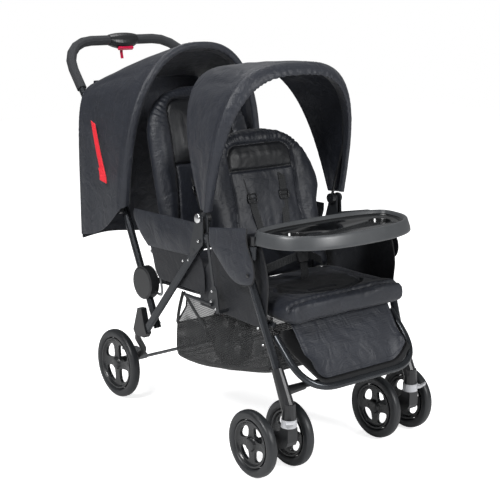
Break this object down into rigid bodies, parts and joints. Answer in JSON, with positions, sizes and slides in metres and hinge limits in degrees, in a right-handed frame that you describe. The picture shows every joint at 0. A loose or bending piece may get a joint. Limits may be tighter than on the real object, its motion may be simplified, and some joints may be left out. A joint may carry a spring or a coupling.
{
  "type": "tandem stroller",
  "caption": "Folding tandem stroller: two padded reclining seats one behind the other, each with an arched hood, swing-away tray, basket, twin swivel casters in front",
  "frame": {"origin": "middle of the bounding box on the floor plane", "axes": "front of the stroller towards -Y, its handle towards +Y, its right-hand side towards -X, up +Z"},
  "size_m": [0.5978, 1.1784, 1.0925],
  "materials": {
    "basket_mesh": "open knitted mesh",
    "bright_steel": "zinc-plated rod",
    "charcoal_fabric": "close woven polyester, charcoal",
    "foam_grip": "soft foam grip",
    "foam_tyre": "closed-cell foam with a smooth skin",
    "gunmetal_tube": "semi-gloss gunmetal powder coat",
    "matt_plastic": "fine-grained dark moulding",
    "painted_plate": "satin dark grey paint",
    "pale_grey_plastic": "satin pale grey moulding",
    "red_ribbon": "red"
  },
  "bodies": {
    "rear_frame": {"basket": "basket_mesh", "knee_bracket_left": "painted_plate", "knee_bracket_right": "painted_plate", "rear_axle": "bright_steel", "rear_foot_left": "matt_plastic", "rear_foot_right": "matt_plastic", "rear_leg_left": "gunmetal_tube", "rear_leg_right": "gunmetal_tube", "rear_skirt_left": "charcoal_fabric", "rear_skirt_right": "charcoal_fabric"},
    "brake": {"brake_bar": "bright_steel"},
    "push_frame": {"fold_disc_left": "matt_plastic", "fold_disc_right": "matt_plastic", "fold_hub": "matt_plastic", "grip_left": "foam_grip", "grip_right": "foam_grip", "handle_tube": "gunmetal_tube", "push_tube_left": "gunmetal_tube", "push_tube_right": "gunmetal_tube", "rear_curtain": "charcoal_fabric", "release_strap": "red_ribbon"},
    "trigger": {"fold_trigger": "red_ribbon"},
    "rear_back": {"rear_seat_back": "charcoal_fabric"},
    "rear_base": {"rear_seat_base": "gunmetal_tube", "rear_seat_cushion": "charcoal_fabric"},
    "rear_hood": {"rear_hood_bow": "matt_plastic", "rear_hood_cover": "charcoal_fabric"},
    "front_frame": {"calf_flap": "charcoal_fabric", "footrest_tube": "gunmetal_tube", "front_crossbar": "gunmetal_tube", "front_hub_left": "matt_plastic", "front_hub_right": "matt_plastic", "front_leg_left": "gunmetal_tube", "front_leg_right": "gunmetal_tube", "front_seat_base": "gunmetal_tube", "front_seat_cushion": "charcoal_fabric", "front_skirt_left": "charcoal_fabric", "front_skirt_right": "charcoal_fabric", "lower_hinge_left": "painted_plate", "lower_hinge_right": "painted_plate"},
    "front_back": {"front_seat_back": "charcoal_fabric"},
    "front_hood": {"front_hood_bow": "matt_plastic", "front_hood_cover": "charcoal_fabric"},
    "tray": {"tray": "matt_plastic"},
    "caster_left": {"caster_fork_left": "matt_plastic"},
    "lock_left": {"swivel_lock_left": "pale_grey_plastic"},
    "wheel_rear_left": {"rear_left_rim": "matt_plastic", "rear_left_tyre": "foam_tyre"},
    "wheel_front_left_outer": {"front_left_outer_rim": "matt_plastic", "front_left_outer_tyre": "foam_tyre"},
    "wheel_front_left_inner": {"front_left_inner_rim": "matt_plastic", "front_left_inner_tyre": "foam_tyre"},
    "caster_right": {"caster_fork_right": "matt_plastic"},
    "lock_right": {"swivel_lock_right": "pale_grey_plastic"},
    "wheel_rear_right": {"rear_right_rim": "matt_plastic", "rear_right_tyre": "foam_tyre"},
    "wheel_front_right_outer": {"front_right_outer_rim": "matt_plastic", "front_right_outer_tyre": "foam_tyre"},
    "wheel_front_right_inner": {"front_right_inner_rim": "matt_plastic", "front_right_inner_tyre": "foam_tyre"}
  },
  "joints": [
    {"name": "fold", "type": "hinge", "parent": "rear_frame", "child": "push_frame", "pos_m": [0, 0.0737, 0.281], "axis": [1, 0, 0], "range_deg": [0, 54], "deforming": ["basket", "rear_curtain", "rear_skirt_left", "rear_skirt_right", "front_skirt_left", "front_skirt_right", "calf_flap", "front_seat_back", "rear_seat_back", "front_hood_bow", "rear_hood_bow"]},
    {"name": "front_frame_fold", "type": "hinge", "parent": "rear_frame", "child": "front_frame", "pos_m": [0, -0.1833, 0.575], "axis": [1, 0, 0], "range_deg": [0, 42]},
    {"name": "rear_seat_fold", "type": "hinge", "parent": "push_frame", "child": "rear_base", "pos_m": [0, 0.1257, 0.394], "axis": [1, 0, 0], "range_deg": [-94, 0]},
    {"name": "front_seat_recline", "type": "hinge", "parent": "front_frame", "child": "front_back", "pos_m": [0, -0.2018, 0.4385], "axis": [-1, 0, 0], "range_deg": [0, 20]},
    {"name": "rear_seat_recline", "type": "hinge", "parent": "push_frame", "child": "rear_back", "pos_m": [0, 0.0747, 0.4715], "axis": [-1, 0, 0], "range_deg": [0, 25]},
    {"name": "front_hood_turn", "type": "hinge", "parent": "rear_frame", "child": "front_hood", "pos_m": [0, -0.1833, 0.637], "axis": [-1, 0, 0], "range_deg": [0, 40], "deforming": ["front_hood_cover"]},
    {"name": "rear_hood_turn", "type": "hinge", "parent": "push_frame", "child": "rear_hood", "pos_m": [0, 0.2297, 0.6], "axis": [-1, 0, 0], "range_deg": [0, 22], "deforming": ["rear_hood_cover"]},
    {"name": "tray_swing", "type": "hinge", "parent": "front_frame", "child": "tray", "pos_m": [0.2435, -0.4033, 0.6], "axis": [0, 0, 1], "range_deg": [0, 80]},
    {"name": "caster_swivel_left", "type": "hinge", "parent": "front_frame", "child": "caster_left", "pos_m": [0.222, -0.5233, 0.1415], "axis": [0, 0, 1], "continuous": true},
    {"name": "swivel_lock_turn_left", "type": "hinge", "parent": "front_frame", "child": "lock_left", "pos_m": [0.222, -0.5233, 0.1415], "axis": [0, 0, 1], "range_deg": [0, 30]},
    {"name": "caster_swivel_right", "type": "hinge", "parent": "front_frame", "child": "caster_right", "pos_m": [-0.222, -0.5233, 0.1415], "axis": [0, 0, 1], "continuous": true},
    {"name": "swivel_lock_turn_right", "type": "hinge", "parent": "front_frame", "child": "lock_right", "pos_m": [-0.222, -0.5233, 0.1415], "axis": [0, 0, 1], "range_deg": [0, 30]},
    {"name": "brake_turn", "type": "hinge", "parent": "rear_frame", "child": "brake", "pos_m": [0, 0.2547, 0.121], "axis": [-1, 0, 0], "range_deg": [0, 15]},
    {"name": "spin_rear_left", "type": "hinge", "parent": "rear_frame", "child": "wheel_rear_left", "pos_m": [0.22, 0.2867, 0.1055], "axis": [1, 0, 0], "continuous": true},
    {"name": "spin_rear_right", "type": "hinge", "parent": "rear_frame", "child": "wheel_rear_right", "pos_m": [-0.22, 0.2867, 0.1055], "axis": [1, 0, 0], "continuous": true},
    {"name": "spin_front_left_outer", "type": "hinge", "parent": "caster_left", "child": "wheel_front_left_outer", "pos_m": [0.2844, -0.4533, 0.09], "axis": [1, 0, 0], "continuous": true},
    {"name": "spin_front_left_inner", "type": "hinge", "parent": "caster_left", "child": "wheel_front_left_inner", "pos_m": [0.1596, -0.4533, 0.09], "axis": [1, 0, 0], "continuous": true},
    {"name": "spin_front_right_outer", "type": "hinge", "parent": "caster_right", "child": "wheel_front_right_outer", "pos_m": [-0.2844, -0.4533, 0.09], "axis": [1, 0, 0], "continuous": true},
    {"name": "spin_front_right_inner", "type": "hinge", "parent": "caster_right", "child": "wheel_front_right_inner", "pos_m": [-0.1596, -0.4533, 0.09], "axis": [1, 0, 0], "continuous": true},
    {"name": "fold_trigger_pull", "type": "slide", "parent": "push_frame", "child": "trigger", "axis": [0, 0.6157, 0.788], "range_m": [0, 0.006], "stiffness_N_per_m": 400}
  ],
  "couplings": [
    {"joint": "front_frame_fold", "follows": "fold", "ratio": 0.7647},
    {"joint": "rear_seat_fold", "follows": "fold", "ratio": -1.725}
  ]
}
